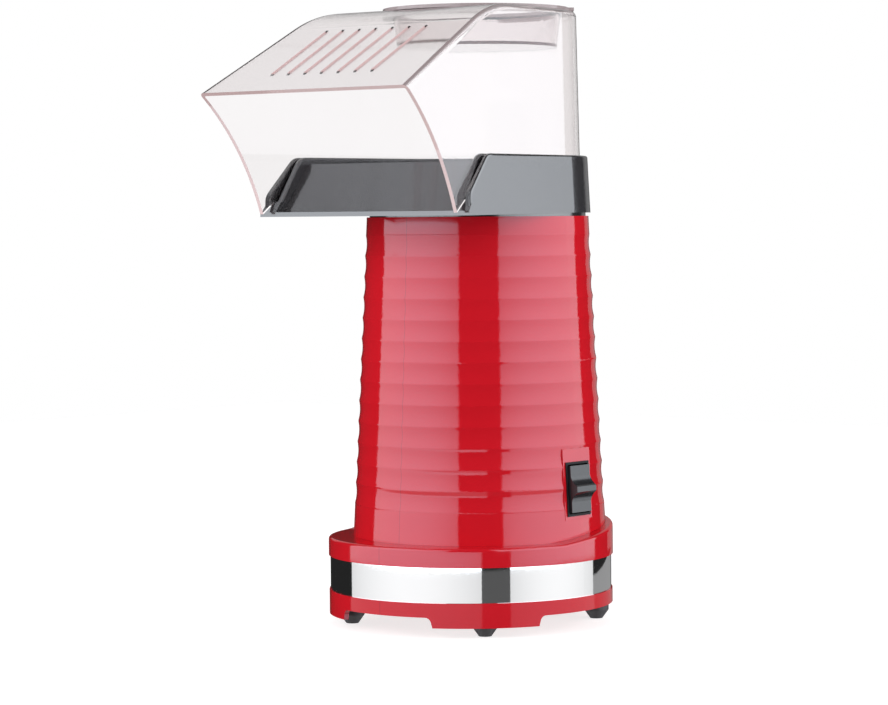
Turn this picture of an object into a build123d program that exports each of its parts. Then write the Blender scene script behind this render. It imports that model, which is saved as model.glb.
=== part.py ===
from build123d import *
import os
from math import atan, atan2, cos, hypot, radians, sin, tan

# A hot-air popcorn maker. Millimetres, +Z up, front towards -Y, right side towards +X.
# Pieces are built round the housing's axis and moved back at the end, so that the origin is
# on the floor under the middle of the whole object.

# Clearances
SLIP_GAP = 0.3          # between pieces that lift apart
SNUG_GAP = 0.1          # between pieces of one assembly
RUNNING_GAP = 0.05      # round a shaft or pin
CUT = 1.0               # how far a cutter passes the face that it cuts

# Base
FOOT_DROP = 4.9         # rubber foot below the legs
LEG_DROP = 4.9          # legs below the arches
RING_HEIGHT = 6.9       # lower ring above the arches
BAND_HEIGHT = 16.7
FLANGE_HEIGHT = 9.0     # at the front, where the top is level
FLANGE_RISE = 6.3       # slope of the flange's rear half, degrees
FLANGE_BREAK = 20.0     # the slope starts this far in front of the housing's axis
BREAK_ROUND = 60.0      # rounding where the flange starts to rise
FLANGE_MARGIN = 7.5     # flange outside the housing
FLANGE_ROUND = 1.4
FLANGE_PLATE = 2.5      # top plate of the flange
OPENING_INSET = 7.0     # air opening in the flange, inside the bosses' circle
BAND_INSET = 0.8        # chrome band inside the flange
BAND_SHEET = 0.8
RING_INSET = 0.2        # lower ring inside the flange
BASE_FORWARD = 7.2      # base centre in front of the housing's axis
TRAY_WALL = 2.4
TRAY_FLOOR = 2.4
TRAY_FLOOR_LIFT = 1.2   # tray floor above the arches
ARCH_ROUND = 3.0
ARCH_SLANT = 15.0       # ends of the arches from upright, degrees
FRONT_ARCH = 23.5       # half width of the front arch, degrees
SIDE_ARCH = (66.0, 141.0)  # side arches, degrees from the front
INTAKE_SLOTS = 20
INTAKE_SLOT = (24.0, 3.0)
INTAKE_CIRCLE = 32.0
FOOT_RADIUS = 6.1
FOOT_TIP_RADIUS = 3.0
FOOT_BEVEL = 4.3        # height of the foot's tapered end
FOOT_STEM = 2.4
FOOT_HEAD = 3.2
FOOT_HEAD_HEIGHT = 1.4
FRONT_FOOT_ANGLE = 45.0     # degrees from the front
FRONT_FOOT_INSET = 10.9     # centre inside the lower ring
REAR_FOOT_ANGLE = 134.5
REAR_FOOT_INSET = 7.4

# Housing
HOUSING_SINK = 1.0      # housing stands this deep in the flange
HOUSING_HEIGHT = 156.6
HOUSING_RADIUS = 62.1   # at the bottom
HOUSING_TAPER = 7.8     # smaller at the top by this
HOUSING_WALL = 2.2
RIDGES = 14
RIDGE_PITCH = 10.1
RIDGE_DEPTH = 0.6
RIDGE_ROUND = 1.6
RIDGE_START = 8.7      # first ridge below the housing's top
LEDGE_WIDTH = 3.4
LEDGE_THICK = 2.4
BOSS_RADIUS = 5.0
BOSS_INSET = 11.1       # screw bosses inside the housing's foot
BOSS_RIB = 2.4
BOSS_ANGLES = (45, 150, 210, 315)

# Collar and chute
COLLAR_FLARE = 5.8      # outer sides open towards the front, degrees each
COLLAR_HEIGHT = 27.6
COLLAR_MARGIN = 1.0     # round back outside the housing's top
COLLAR_TAPER = 1.4
COLLAR_FRONT = 87.0
COLLAR_GAP = 1.6        # dark gap over the housing
NECK_INSET = 1.4        # neck in that gap, inside the housing's top
COLLAR_PLATE = 2.4
COLLAR_ROUND = 1.15
LIP_HEIGHT = 1.2        # front lip above the gap
LIP_DROP = 1.0          # underside lower at the front by this
WALL_FRONT = 85.6       # front of the outer side walls
WALL_KNEE = 9.0         # height where their front edge starts to slant
WALL_TOP_FRONT = 68.5
WALL_ROUND = 7.0        # corners of their side outline
RIDGE_FRONT = 86.4      # front of the inner ridges
RIDGE_TOP_FRONT = 70.0
RAMP_FOOT = 81.7        # front of the chute's slope
RAMP_CREST = 66.0
RAMP_TOP = 24.3         # chute's crest above the collar's bottom
SPIGOT_LENGTH = 3.8
SPIGOT_WALL = 2.6

# Hood
HOOD_WALL = 2.0
HOOD_FLARE = 6.0        # sides open towards the front, degrees each
HOOD_INSET = 3.7        # round back inside the collar's top
HOOD_DRAFT = 1.2
HOOD_RISE = 70.5        # flat top above the collar
HOOD_LIP_RISE = 29.7    # front lip above the collar
HOOD_LIP = 130.0
HOOD_TIP = 91.2         # lower front corners
HOOD_TIP_LIFT = 0.3     # above the collar's bottom
HOOD_EDGE_LIFT = 6.3    # lower edge in the groove, above the collar's bottom
HOOD_TIP_RUN = 7.6
HOOD_BREAK = 56.0       # where the slope meets the flat top
HOOD_BREAK_ROUND = 70.0
HOOD_CORNER = 2.8
MOUTH_BULGE = 4.6       # how far the mouth's edge curves in
VENTS = 7
VENT_PITCH = 10.2
VENT_WIDTH = 1.8
VENT_REAR = 75.2
VENT_FRONT = 115.0

# Measuring cup
CUP_INSET = 9.8           # cup inside the hood's back
CUP_TAPER = 2.0
CUP_DEPTH = 17.5
CUP_WALL = 1.6
CUP_RIM_WIDTH = 5.1
CUP_RIM = 1.6
CUP_TAB_ANGLE = 130.0     # degrees from the front
CUP_TAB = 16.0            # width
CUP_TAB_REACH = 7.0

# Popping chamber and heater
CHAMBER_INSET = 9.3       # chamber inside the housing's top
CHAMBER_NECK = 7.0        # its lower part is smaller by this
CHAMBER_DEPTH = 72.0
CHAMBER_SHOULDER = 43.0   # taper starts this far below the rim
CHAMBER_TAPER = 12.0
CHAMBER_SHEET = 0.8
CHAMBER_RIM_WIDTH = 4.4
SEAT_THICK = 3.6
LOUVRES = 18
LOUVRE = (2.2, 10.0)
LOUVRE_SLANT = 30.0
LOUVRE_LIFT = 8.0
CAN_GAP = 6.2             # air round the chamber's lower part
CAN_SHEET = 0.8
CAN_FLANGE_MARGIN = 3.6   # can's flange outside the bosses' circle
CAN_BEAD = 2.0
MICA_LIFT = 15.0
MICA_HEIGHT = 13.0
MICA_SHEET = 1.2
MICA_GAP = 2.2            # under the thermostat
ELEMENT_CIRCLE = 28.0
ELEMENT_RADIUS = 2.0
ELEMENT_LIFT = 7.0
ELEMENT_ARC = 335.0
ELEMENT_GAP = 45.0        # middle of the gap between its ends, degrees
FUSE_RADIUS = 1.9
FUSE_LENGTH = 11.0
FUSE_PLACE = 13.0
THERMOSTAT_RADIUS = 8.0
THERMOSTAT_HEIGHT = 6.0
THERMOSTAT_STEP = 1.5

# Blower
PLATE_THICK = 2.0
PLATE_EDGE_GAP = 0.8
AIR_HOLES = 8
AIR_HOLE = 9.0
AIR_CIRCLE = 31.0
MOTOR_RADIUS = 18.0
MOTOR_SHEET = 1.2
MOTOR_LENGTH = 36.0
MOTOR_NOSE = 5.0
MAGNET_THICK = 4.2
MAGNET_SPAN = 130.0
MAGNET_MARGIN = 6.0       # magnets' ends inside the motor
END_BELL = 3.0
END_SPIGOT = 2.5
BUSH_RADIUS = 3.5
BUSH_LENGTH = 6.0
SHAFT_RADIUS = 1.6
SHAFT_TAIL = 0.6
ARMATURE_RADIUS = 11.5
ARMATURE_LENGTH = 20.0
ARMATURE_SLOTS = 5
ARMATURE_SLOT = (2.0, 5.0)
COMMUTATOR_RADIUS = 4.0
FAN_GAP = 6.2             # fan inside the heater can
FAN_HUB = 7.0
FAN_HEIGHT = 9.0
FAN_LIFT = 3.0
FAN_BLADES = 7
FAN_BLADE = 1.4
FAN_PITCH = 38.0
BOARD_RADIUS = 15.0
BOARD_THICK = 1.6
BOARD_NOSE = 6.0
DIODES = 4
DIODE_RADIUS = 1.4
DIODE_LENGTH = 5.0
DIODE_CIRCLE = 10.5

# Switch
SWITCH_RISE = 25.9        # centre above the housing's bottom
SWITCH_WIDTH = 18.0
SWITCH_HEIGHT = 26.0
BEZEL = 0.6
BEZEL_LIP = 0.4           # bezel outside the hole in the housing
SWITCH_DEPTH = 10.0
SWITCH_WALL = 0.6
ROCKER_PANEL = 2.0        # rocker's panels above the pad
ROCKER_RIDGE = 5.6        # rocker's middle ridge above the pad
ROCKER_RIDGE_HALF = 1.3
ROCKER_RIDGE_FOOT = 6.0   # half height of the ridge's foot
ROCKER_DEPTH = 5.0
PIVOT_DEPTH = 1.0
PIN_RADIUS = 1.0
PAD_MARGIN = 1.6
PAD_TOP_MARGIN = 6.4
PAD_THICK = 2.6
PAD_SINK = 0.7            # pad's middle below the ridges
TERMINALS = 3
TERMINAL = (4.8, 0.8, 4.0)
TERMINAL_PITCH = 7.5

# Cord inlet
GLAND_RISE = 22.0
GLAND_BORE = 3.5
GLAND_SHANK = 6.0
GLAND_FLANGE = 8.5
GLAND_FLANGE_THICK = 2.0
GLAND_NUT = 3.0
GLAND_PAD = 10.5
GLAND_PAD_THICK = 4.4

# Screws: head radius, head height, shank radius
TOWER_RADIUS = 6.0
TOWER_SHOULDER = 5.4
BASE_SCREW = (3.8, 2.4, 2.0)
BASE_SCREW_GRIP = 10.0    # length in the boss
PLATE_SCREW = (3.2, 2.0, 1.6)
PLATE_SCREW_GRIP = 9.0
MOTOR_SCREW = (2.6, 1.8, 1.4)
MOTOR_SCREW_GRIP = 1.1
MOTOR_SCREW_CIRCLE = 11.0
DRIVE_SLOT = 0.8          # width of the cross in a screw's head

# Heights worked out from the floor up
LEG_Z = FOOT_DROP
ARCH_Z = LEG_Z + LEG_DROP
BAND_Z = ARCH_Z + RING_HEIGHT
FLANGE_Z = BAND_Z + BAND_HEIGHT
FLANGE_TOP_Z = FLANGE_Z + FLANGE_HEIGHT
HOUSING_Z = FLANGE_TOP_Z - HOUSING_SINK
HOUSING_TOP_Z = HOUSING_Z + HOUSING_HEIGHT
COLLAR_Z = HOUSING_TOP_Z + COLLAR_GAP
COLLAR_TOP_Z = COLLAR_Z + COLLAR_HEIGHT
HOOD_TOP_Z = COLLAR_TOP_Z + HOOD_RISE
HOOD_LIP_Z = COLLAR_TOP_Z + HOOD_LIP_RISE
HOOD_EDGE_Z = COLLAR_Z + HOOD_EDGE_LIFT
HOOD_TIP_Z = COLLAR_Z + HOOD_TIP_LIFT
TRAY_Z = ARCH_Z + TRAY_FLOOR_LIFT
TRAY_TOP_Z = TRAY_Z + TRAY_FLOOR
GROOVE_Z = HOOD_EDGE_Z - SNUG_GAP
SPIGOT_Z = HOUSING_TOP_Z - SPIGOT_LENGTH
RIM_Z = SPIGOT_Z - SLIP_GAP
SEAT_TOP_Z = RIM_Z - CHAMBER_SHEET
LEDGE_Z = SEAT_TOP_Z - SEAT_THICK
CHAMBER_Z = RIM_Z - CHAMBER_DEPTH
SHOULDER_Z = RIM_Z - CHAMBER_SHOULDER
TAPER_Z = SHOULDER_Z - CHAMBER_TAPER
MICA_Z = CHAMBER_Z - CHAMBER_SHEET - THERMOSTAT_HEIGHT - MICA_GAP - MICA_HEIGHT
ELEMENT_Z = MICA_Z + ELEMENT_LIFT
CAN_Z = MICA_Z - MICA_LIFT
FAN_Z = CAN_Z + FAN_LIFT
PLATE_Z = CAN_Z - PLATE_THICK
MOTOR_Z = PLATE_Z - MOTOR_LENGTH
BELL_Z = MOTOR_Z - END_BELL
SHOULDER_SCREW_Z = FLANGE_Z - TOWER_SHOULDER
SWITCH_Z = HOUSING_Z + SWITCH_RISE
GLAND_Z = HOUSING_Z + GLAND_RISE

# Radii worked out from the housing's foot
HOUSING_TOP_RADIUS = HOUSING_RADIUS - HOUSING_TAPER
HOUSING_SLOPE = HOUSING_TAPER / HOUSING_HEIGHT
FLANGE_RADIUS = HOUSING_RADIUS + FLANGE_MARGIN
BAND_RADIUS = FLANGE_RADIUS - BAND_INSET
RING_RADIUS = FLANGE_RADIUS - RING_INSET
BOSS_CIRCLE = HOUSING_RADIUS - BOSS_INSET
FLANGE_OPENING = BOSS_CIRCLE - OPENING_INSET
COLLAR_RADIUS = HOUSING_TOP_RADIUS + COLLAR_MARGIN
COLLAR_TOP_RADIUS = COLLAR_RADIUS - COLLAR_TAPER
HOOD_RADIUS = COLLAR_TOP_RADIUS - HOOD_INSET
CUP_RADIUS = HOOD_RADIUS - CUP_INSET
CUP_RIM_RADIUS = CUP_RADIUS + CUP_RIM_WIDTH
CHAMBER_RADIUS = HOUSING_TOP_RADIUS - CHAMBER_INSET
CHAMBER_LOW_RADIUS = CHAMBER_RADIUS - CHAMBER_NECK
CHAMBER_RIM = CHAMBER_RADIUS + CHAMBER_RIM_WIDTH
CAN_RADIUS = CHAMBER_LOW_RADIUS + CAN_GAP
CAN_FLANGE = BOSS_CIRCLE + CAN_FLANGE_MARGIN
FAN_RADIUS = CAN_RADIUS - FAN_GAP
UPRIGHT = (Align.CENTER, Align.CENTER, Align.MIN)


def housing_radius(z):
    """Outside of the housing over its ridges, at a height."""
    return HOUSING_RADIUS - HOUSING_SLOPE * (z - HOUSING_Z)


def housing_bore(z):
    """Inside of the housing's wall, at a height."""
    return housing_radius(z) - RIDGE_DEPTH - HOUSING_WALL


def hood_radius(z):
    """Round back of the hood's outside, at a height."""
    return HOOD_RADIUS - tan(radians(HOOD_DRAFT)) * (z - COLLAR_TOP_Z)


def collar_radius(z):
    """Round back of the collar's outside, at a height."""
    share = (z - COLLAR_Z) / COLLAR_HEIGHT
    return COLLAR_RADIUS + share * (COLLAR_TOP_RADIUS - COLLAR_RADIUS)


def spot(angle, radius):
    """Point at an angle from the front, turning towards the right."""
    return radius * sin(radians(angle)), -radius * cos(radians(angle))


def post(radius, low, high, x=0.0, y=0.0):
    """Upright cylinder between two heights."""
    return Pos(x, y, low) * Cylinder(radius, high - low, align=UPRIGHT)


def tube(outer, inner, low, high, x=0.0, y=0.0):
    """Upright ring between two heights."""
    return post(outer, low, high, x, y) - post(inner, low - CUT, high + CUT, x, y)


def turned(*points):
    """Solid turned about the housing's axis from (radius, height) points."""
    return revolve(Plane.XZ * make_face(Polyline(*points, close=True)), Axis.Z)


def slab(half_width, *points):
    """Solid with a side outline of (y, z) points, as wide to the left as to the right."""
    return extrude(Plane.YZ * make_face(Polyline(*points, close=True)), half_width, both=True)


def wedge(start, stop, radius, low, high, slant=0.0):
    """Pie slice between two angles from the front, narrower at its top by the slant of its sides."""
    steps = 4
    rim = [spot(start + (stop - start) * i / steps, radius) for i in range(steps + 1)]
    return Pos(0, 0, low) * extrude(make_face(Polyline((0, 0), *rim, close=True)), high - low, taper=slant)


def plan(radius, front, flare):
    """Outline with a round back, sides that flare forwards and a straight front."""
    slant = radians(flare)
    side = (radius * cos(slant), radius * sin(slant))
    corner = (side[0] + tan(slant) * (side[1] + front), -front)
    right = Line(corner, side)
    back = ThreePointArc(side, (0, radius), (-side[0], side[1]))
    left = Line((-side[0], side[1]), (-corner[0], -front))
    return make_face([right, back, left, Line((-corner[0], -front), corner)])


def plan_solid(radius, front, low, high, flare=HOOD_FLARE):
    """Drafted solid over the outline; radius gives its round back at a height."""
    ends = [Pos(0, 0, z) * plan(radius(z), front, flare) for z in (low, high)]
    return loft(ends, ruled=True)


def screw(head, shank_length):
    """Screw with its head on top, the underside of the head at zero."""
    head_radius, head_height, shank_radius = head
    body = post(head_radius, 0, head_height) + post(shank_radius, -shank_length, 0)
    cross = Box(2 * shank_radius, DRIVE_SLOT, head_height) + Box(DRIVE_SLOT, 2 * shank_radius, head_height)
    return body - Pos(0, 0, head_height) * cross


def group(pieces):
    """Separate solids that share one node."""
    return Compound([solid for piece in pieces for solid in piece.solids()])


def boss_spots():
    return [spot(angle, BOSS_CIRCLE) for angle in BOSS_ANGLES]


def foot_spots():
    places = []
    for angle, inset in ((FRONT_FOOT_ANGLE, FRONT_FOOT_INSET), (REAR_FOOT_ANGLE, REAR_FOOT_INSET)):
        for side in (1, -1):
            x, y = spot(side * angle, RING_RADIUS - inset)
            places.append((x, y - BASE_FORWARD))
    return places


# Base pieces
def base_tray():
    skirt = tube(RING_RADIUS, RING_RADIUS - TRAY_WALL, LEG_Z, BAND_Z)
    side_start, side_stop = SIDE_ARCH
    for start, stop in ((-FRONT_ARCH, FRONT_ARCH), (side_start, side_stop), (-side_stop, -side_start)):
        arch = wedge(start, stop, 2 * RING_RADIUS, LEG_Z - CUT, ARCH_Z, ARCH_SLANT)
        ends = [e for e in arch.edges().group_by(Axis.Z)[-1] if e.length > RING_RADIUS]
        skirt -= fillet(ends, ARCH_ROUND)
    seat_radius = BAND_RADIUS - BAND_SHEET - SLIP_GAP
    wall = tube(seat_radius, seat_radius - TRAY_WALL, TRAY_Z, FLANGE_Z)
    tray = skirt + wall + post(seat_radius - CUT, TRAY_Z, TRAY_TOP_Z)
    length, width = INTAKE_SLOT
    slots = [loc * SlotOverall(length, width) for loc in PolarLocations(INTAKE_CIRCLE, INTAKE_SLOTS)]
    tray -= Pos(0, 0, TRAY_Z - CUT) * extrude(Sketch() + slots, TRAY_FLOOR + 2 * CUT)
    tray = Pos(0, -BASE_FORWARD, 0) * tray
    for x, y in boss_spots():
        tray += post(TOWER_RADIUS, TRAY_Z, FLANGE_Z, x, y)
        tray -= post(BASE_SCREW[0] + SLIP_GAP, TRAY_Z - CUT, SHOULDER_SCREW_Z, x, y)
        tray -= post(BASE_SCREW[2] + SNUG_GAP, TRAY_Z, FLANGE_Z + CUT, x, y)
    for x, y in foot_spots():
        tray += post(FOOT_RADIUS, ARCH_Z, TRAY_TOP_Z, x, y)
        tray -= post(FOOT_STEM + SNUG_GAP, ARCH_Z - CUT, TRAY_TOP_Z + CUT, x, y)
    return tray


def rubber_feet():
    foot = turned(
        (0, 0), (FOOT_TIP_RADIUS, 0), (FOOT_RADIUS, FOOT_BEVEL), (FOOT_RADIUS, ARCH_Z),
        (FOOT_STEM, ARCH_Z), (FOOT_STEM, TRAY_TOP_Z), (FOOT_HEAD, TRAY_TOP_Z),
        (FOOT_STEM, TRAY_TOP_Z + FOOT_HEAD_HEIGHT), (0, TRAY_TOP_Z + FOOT_HEAD_HEIGHT))
    return group([Pos(x, y, 0) * foot for x, y in foot_spots()])


def chrome_band():
    return tube(BAND_RADIUS, BAND_RADIUS - BAND_SHEET, BAND_Z, FLANGE_Z, y=-BASE_FORWARD)


def base_flange():
    rear = FLANGE_RADIUS + BASE_FORWARD
    climb = tan(radians(FLANGE_RISE)) * (rear + FLANGE_BREAK)
    top = FilletPolyline((-2 * rear, FLANGE_TOP_Z), (-FLANGE_BREAK, FLANGE_TOP_Z),
                         (rear, FLANGE_TOP_Z + climb), radius=BREAK_ROUND)
    rest = Polyline((rear, FLANGE_TOP_Z + climb), (rear, FLANGE_Z), (-2 * rear, FLANGE_Z),
                    (-2 * rear, FLANGE_TOP_Z))
    side = extrude(Plane.YZ * make_face(top.edges() + rest.edges()), 2 * FLANGE_RADIUS, both=True)
    flange = side & post(FLANGE_RADIUS, FLANGE_Z, FLANGE_TOP_Z + climb, y=-BASE_FORWARD)
    upper = [e for e in flange.edges() if e.bounding_box().max.Z > FLANGE_Z + CUT]
    flange = fillet([e for e in upper if e.geom_type != GeomType.LINE], FLANGE_ROUND)
    flange -= post(FLANGE_RADIUS - TRAY_WALL, FLANGE_Z - CUT, FLANGE_TOP_Z - FLANGE_PLATE, y=-BASE_FORWARD)
    for x, y in boss_spots():
        flange += post(TOWER_RADIUS, FLANGE_Z, FLANGE_TOP_Z - FLANGE_PLATE, x, y)
        flange -= post(BASE_SCREW[2] + SNUG_GAP, FLANGE_Z - CUT, FLANGE_TOP_Z + CUT, x, y)
    seat_top = FLANGE_TOP_Z + climb + CUT
    flange -= turned((0, HOUSING_Z), (HOUSING_RADIUS + SNUG_GAP, HOUSING_Z),
                     (housing_radius(seat_top) + SNUG_GAP, seat_top), (0, seat_top))
    return flange - post(FLANGE_OPENING, FLANGE_Z - CUT, FLANGE_TOP_Z + CUT)


def base_screws():
    length = FLANGE_Z - SHOULDER_SCREW_Z + (HOUSING_Z - FLANGE_Z) + BASE_SCREW_GRIP
    piece = Rot(180, 0, 0) * screw(BASE_SCREW, length)
    return group([Pos(x, y, SHOULDER_SCREW_Z) * piece for x, y in boss_spots()])


# Housing and what it carries
def ridged_outline():
    """Edges of the housing's outside, from its top to its bottom."""
    turn = 2 * atan(2 * RIDGE_DEPTH / RIDGE_PITCH)
    half = RIDGE_ROUND * sin(turn)
    sag = RIDGE_ROUND * (1 - cos(turn))
    edges = []
    last = (HOUSING_TOP_RADIUS, HOUSING_TOP_Z)
    for i in range(RIDGES):
        z = HOUSING_TOP_Z - RIDGE_START - i * RIDGE_PITCH
        upper = (housing_radius(z + half) - sag, z + half)
        lower = (housing_radius(z - half) - sag, z - half)
        if i == 0:
            edges.append(Line(last, upper))
        else:
            middle = z + RIDGE_PITCH / 2
            edges.append(ThreePointArc(last, (housing_radius(middle) - RIDGE_DEPTH, middle), upper))
        edges.append(ThreePointArc(upper, (housing_radius(z), z), lower))
        last = lower
    edges.append(Line(last, (HOUSING_RADIUS, HOUSING_Z)))
    return edges


def switch_place():
    """Frame of the switch on the housing's right side, its own +Z pointing out of the wall."""
    lean = atan(HOUSING_SLOPE)
    return Plane(origin=(housing_radius(SWITCH_Z) - PAD_SINK, 0, SWITCH_Z), x_dir=(0, 1, 0),
                 z_dir=(cos(lean), 0, sin(lean))).location


def gland_face():
    """Distance of the cord inlet's flat pad behind the housing's axis."""
    return housing_radius(GLAND_Z - GLAND_PAD) + SNUG_GAP


def fittings_room():
    """Space inside the housing that the switch and the cord inlet need."""
    depth = SWITCH_DEPTH + TERMINAL[2] + SLIP_GAP
    switch = Box(SWITCH_WIDTH + 2 * SLIP_GAP, SWITCH_HEIGHT + 2 * SLIP_GAP, depth)
    length = 2 * (GLAND_PAD_THICK + 2 * GLAND_NUT + SLIP_GAP)
    gland = Rot(90, 0, 0) * Cylinder(GLAND_FLANGE + SLIP_GAP, length)
    return [switch_place() * Pos(0, 0, -depth / 2) * switch, Pos(0, gland_face(), GLAND_Z) * gland]


def housing():
    inside = Polyline((HOUSING_RADIUS, HOUSING_Z), (housing_bore(HOUSING_Z), HOUSING_Z),
                      (housing_bore(HOUSING_TOP_Z), HOUSING_TOP_Z), (HOUSING_TOP_RADIUS, HOUSING_TOP_Z))
    shell = revolve(Plane.XZ * make_face(ridged_outline() + inside.edges()), Axis.Z)
    ledge_low = LEDGE_Z - LEDGE_THICK
    skin = HOUSING_WALL / 2
    ledge_edge = housing_bore(LEDGE_Z) - LEDGE_WIDTH
    shell += turned((ledge_edge, ledge_low), (housing_bore(ledge_low) + skin, ledge_low),
                    (housing_bore(LEDGE_Z) + skin, LEDGE_Z), (ledge_edge, LEDGE_Z))
    rib = slab(BOSS_RIB / 2, (-BOSS_CIRCLE, HOUSING_Z), (-housing_bore(HOUSING_Z) - skin, HOUSING_Z),
               (-housing_bore(PLATE_Z) - skin, PLATE_Z), (-BOSS_CIRCLE, PLATE_Z))
    for angle, (x, y) in zip(BOSS_ANGLES, boss_spots()):
        shell += Rot(0, 0, angle) * rib
        shell += post(BOSS_RADIUS, HOUSING_Z, PLATE_Z, x, y)
        shell -= post(BASE_SCREW[2] + SNUG_GAP, HOUSING_Z - CUT, HOUSING_Z + BASE_SCREW_GRIP + CUT, x, y)
        shell -= post(PLATE_SCREW[2] + SNUG_GAP, PLATE_Z - PLATE_SCREW_GRIP - CUT, PLATE_Z + CUT, x, y)
    hole_width = SWITCH_WIDTH - 2 * BEZEL_LIP
    hole_height = SWITCH_HEIGHT - 2 * BEZEL_LIP
    pad_height = SWITCH_HEIGHT + PAD_MARGIN + PAD_TOP_MARGIN
    pad = Box(SWITCH_WIDTH + 2 * PAD_MARGIN, pad_height, PAD_THICK)
    pad_middle = switch_place() * Pos(0, (PAD_TOP_MARGIN - PAD_MARGIN) / 2, 0)
    shell -= pad_middle * Pos(0, 0, PAD_THICK / 2) * pad
    shell += pad_middle * Pos(0, 0, -PAD_THICK / 2) * pad
    shell -= switch_place() * Box(hole_width, hole_height, 2 * (PAD_THICK + CUT))
    gland_pad = Rot(90, 0, 0) * Cylinder(GLAND_PAD, GLAND_PAD_THICK)
    shell += Pos(0, gland_face() - GLAND_PAD_THICK / 2, GLAND_Z) * gland_pad
    gland_hole = Rot(90, 0, 0) * Cylinder(GLAND_SHANK + SNUG_GAP, 2 * (GLAND_PAD_THICK + CUT))
    return shell - Pos(0, gland_face(), GLAND_Z) * gland_hole


def chamber_seat():
    outer = housing_bore(SEAT_TOP_Z) - SLIP_GAP
    return tube(outer, CHAMBER_RADIUS + CHAMBER_SHEET + SLIP_GAP, LEDGE_Z, SEAT_TOP_Z)


def popping_chamber():
    sheet = CHAMBER_SHEET
    chamber = turned(
        (0, CHAMBER_Z - sheet), (CHAMBER_LOW_RADIUS + sheet, CHAMBER_Z - sheet),
        (CHAMBER_LOW_RADIUS + sheet, TAPER_Z), (CHAMBER_RADIUS + sheet, SHOULDER_Z),
        (CHAMBER_RADIUS + sheet, SEAT_TOP_Z), (CHAMBER_RIM, SEAT_TOP_Z), (CHAMBER_RIM, RIM_Z),
        (CHAMBER_RADIUS, RIM_Z), (CHAMBER_RADIUS, SHOULDER_Z), (CHAMBER_LOW_RADIUS, TAPER_Z),
        (CHAMBER_LOW_RADIUS, CHAMBER_Z), (0, CHAMBER_Z))
    width, height = LOUVRE
    louvre = Rot(LOUVRE_SLANT, 0, 0) * Box(2 * (sheet + CUT), width, height)
    louvre = Pos(CHAMBER_LOW_RADIUS, 0, CHAMBER_Z + LOUVRE_LIFT) * louvre
    cutters = [Rot(0, 0, 360 / LOUVRES * i) * louvre for i in range(LOUVRES)]
    return chamber - cutters


def thermostat():
    top = CHAMBER_Z - CHAMBER_SHEET
    low = top - THERMOSTAT_HEIGHT
    middle = top - THERMOSTAT_HEIGHT / 2
    return post(THERMOSTAT_RADIUS, middle, top) + post(THERMOSTAT_RADIUS - THERMOSTAT_STEP, low, middle)


def can_top():
    """Height where the heater can closes on the chamber's taper."""
    slope = (CHAMBER_RADIUS - CHAMBER_LOW_RADIUS) / CHAMBER_TAPER
    return TAPER_Z + (CAN_RADIUS - SLIP_GAP - CHAMBER_LOW_RADIUS - CHAMBER_SHEET) / slope


def heater_can():
    can = tube(CAN_RADIUS + CAN_SHEET, CAN_RADIUS, CAN_Z, can_top())
    can += tube(CAN_FLANGE, CAN_RADIUS, CAN_Z, CAN_Z + CAN_SHEET)
    can += tube(CAN_RADIUS + CAN_SHEET, CAN_RADIUS - CAN_BEAD, MICA_Z - CAN_SHEET, MICA_Z)
    for x, y in boss_spots():
        can -= post(PLATE_SCREW[2] + SNUG_GAP, CAN_Z - CUT, CAN_Z + CAN_SHEET + CUT, x, y)
    return can - fittings_room()


def mica_frame():
    span = 2 * (CAN_RADIUS - SLIP_GAP)
    card = Pos(0, 0, MICA_Z) * Box(span, MICA_SHEET, MICA_HEIGHT, align=UPRIGHT)
    frame = card + Rot(0, 0, 90) * card
    top = MICA_Z + MICA_HEIGHT
    notch = ELEMENT_RADIUS + SLIP_GAP
    frame -= tube(ELEMENT_CIRCLE + notch, ELEMENT_CIRCLE - notch, ELEMENT_Z - notch, top + CUT)
    slot = FUSE_RADIUS + SNUG_GAP
    seat = Box(2 * slot, MICA_SHEET + 2 * CUT, 2 * slot, align=UPRIGHT)
    return frame - Pos(FUSE_PLACE, 0, top - slot) * seat


def heater_element():
    ring = Plane.XZ * Pos(ELEMENT_CIRCLE, ELEMENT_Z) * Circle(ELEMENT_RADIUS)
    return Rot(0, 0, ELEMENT_GAP - ELEMENT_ARC / 2 + 180) * revolve(ring, Axis.Z, revolution_arc=ELEMENT_ARC)


def thermal_fuse():
    return Pos(FUSE_PLACE, 0, MICA_Z + MICA_HEIGHT) * Rot(90, 0, 0) * Cylinder(FUSE_RADIUS, FUSE_LENGTH)


# Blower pieces
def motor_plate():
    plate = post(housing_bore(CAN_Z) - PLATE_EDGE_GAP, PLATE_Z, CAN_Z)
    holes = [post(MOTOR_NOSE + SNUG_GAP, PLATE_Z - CUT, CAN_Z + CUT)]
    for loc in PolarLocations(AIR_CIRCLE, AIR_HOLES):
        holes.append(post(AIR_HOLE, PLATE_Z - CUT, CAN_Z + CUT, loc.position.X, loc.position.Y))
    for x, y in boss_spots():
        holes.append(post(PLATE_SCREW[2] + SNUG_GAP, PLATE_Z - CUT, CAN_Z + CUT, x, y))
    for x in (MOTOR_SCREW_CIRCLE, -MOTOR_SCREW_CIRCLE):
        holes.append(post(MOTOR_SCREW[2] + SNUG_GAP, PLATE_Z - CUT, CAN_Z + CUT, x))
    return plate - holes - fittings_room()


def plate_screws():
    length = PLATE_SCREW_GRIP + PLATE_THICK + CAN_SHEET
    return group([Pos(x, y, CAN_Z + CAN_SHEET) * screw(PLATE_SCREW, length) for x, y in boss_spots()])


def motor_screws():
    length = PLATE_THICK + MOTOR_SCREW_GRIP
    piece = screw(MOTOR_SCREW, length)
    return group([Pos(x, 0, CAN_Z) * piece for x in (MOTOR_SCREW_CIRCLE, -MOTOR_SCREW_CIRCLE)])


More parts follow.
